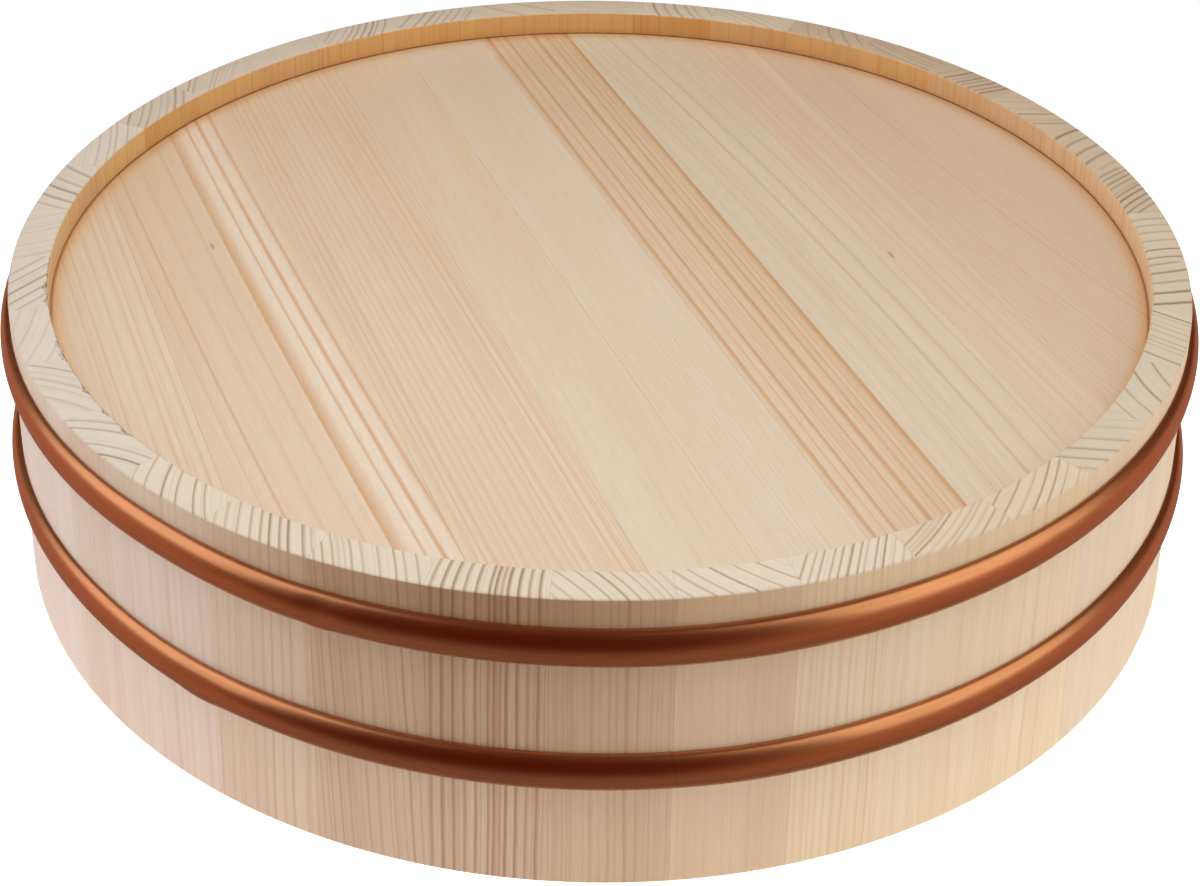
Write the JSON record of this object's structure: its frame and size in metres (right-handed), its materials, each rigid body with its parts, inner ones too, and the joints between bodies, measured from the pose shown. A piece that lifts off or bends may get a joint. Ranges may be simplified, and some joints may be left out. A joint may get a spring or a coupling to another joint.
{
  "type": "sushi rice tub",
  "caption": "Round coopered wooden rice tub with a pinned board base and copper hoops, for cooling and dressing sushi rice, shown standing on its mouth.",
  "frame": {"origin": "middle of the mouth rim's plane, which the tub stands on in the pictured pose", "axes": "+Z from the mouth towards the foot, along the tub's axis, so that the base faces up; +Y away from the picture's viewer"},
  "size_m": [0.3334, 0.3334, 0.0835],
  "materials": {
    "wall_wood": "bare softwood, planed and sanded, matt",
    "base_wood": "bare softwood boards, planed and sanded, matt, with orange latewood lines",
    "bamboo": "bare split bamboo",
    "copper": "satin copper, drawn along its length"
  },
  "bodies": {
    "root": {"stave_01": "wall_wood", "stave_02": "wall_wood", "stave_03": "wall_wood", "stave_04": "wall_wood", "stave_05": "wall_wood", "stave_06": "wall_wood", "stave_07": "wall_wood", "stave_08": "wall_wood", "stave_09": "wall_wood", "stave_10": "wall_wood", "stave_11": "wall_wood", "stave_12": "wall_wood", "stave_13": "wall_wood", "stave_14": "wall_wood", "stave_15": "wall_wood", "stave_16": "wall_wood", "stave_17": "wall_wood", "stave_18": "wall_wood", "stave_19": "wall_wood", "stave_20": "wall_wood", "stave_21": "wall_wood", "stave_22": "wall_wood", "stave_23": "wall_wood", "stave_24": "wall_wood", "stave_25": "wall_wood", "stave_26": "wall_wood", "stave_27": "wall_wood", "stave_28": "wall_wood", "stave_29": "wall_wood", "stave_30": "wall_wood", "stave_31": "wall_wood", "stave_32": "wall_wood", "stave_33": "wall_wood", "stave_34": "wall_wood", "stave_35": "wall_wood", "stave_36": "wall_wood", "base_board_1": "base_wood", "base_board_2": "base_wood", "base_board_3": "base_wood", "base_board_4": "base_wood", "base_board_5": "base_wood", "base_board_6": "base_wood", "base_board_7": "base_wood", "base_board_8": "base_wood", "base_board_9": "base_wood", "base_pin_01": "bamboo", "base_pin_02": "bamboo", "base_pin_03": "bamboo", "base_pin_04": "bamboo", "base_pin_05": "bamboo", "base_pin_06": "bamboo", "base_pin_07": "bamboo", "base_pin_08": "bamboo", "base_pin_09": "bamboo", "base_pin_10": "bamboo", "base_pin_11": "bamboo", "base_pin_12": "bamboo", "foot_hoop": "copper", "belly_hoop": "copper"}
  },
  "joints": []
}
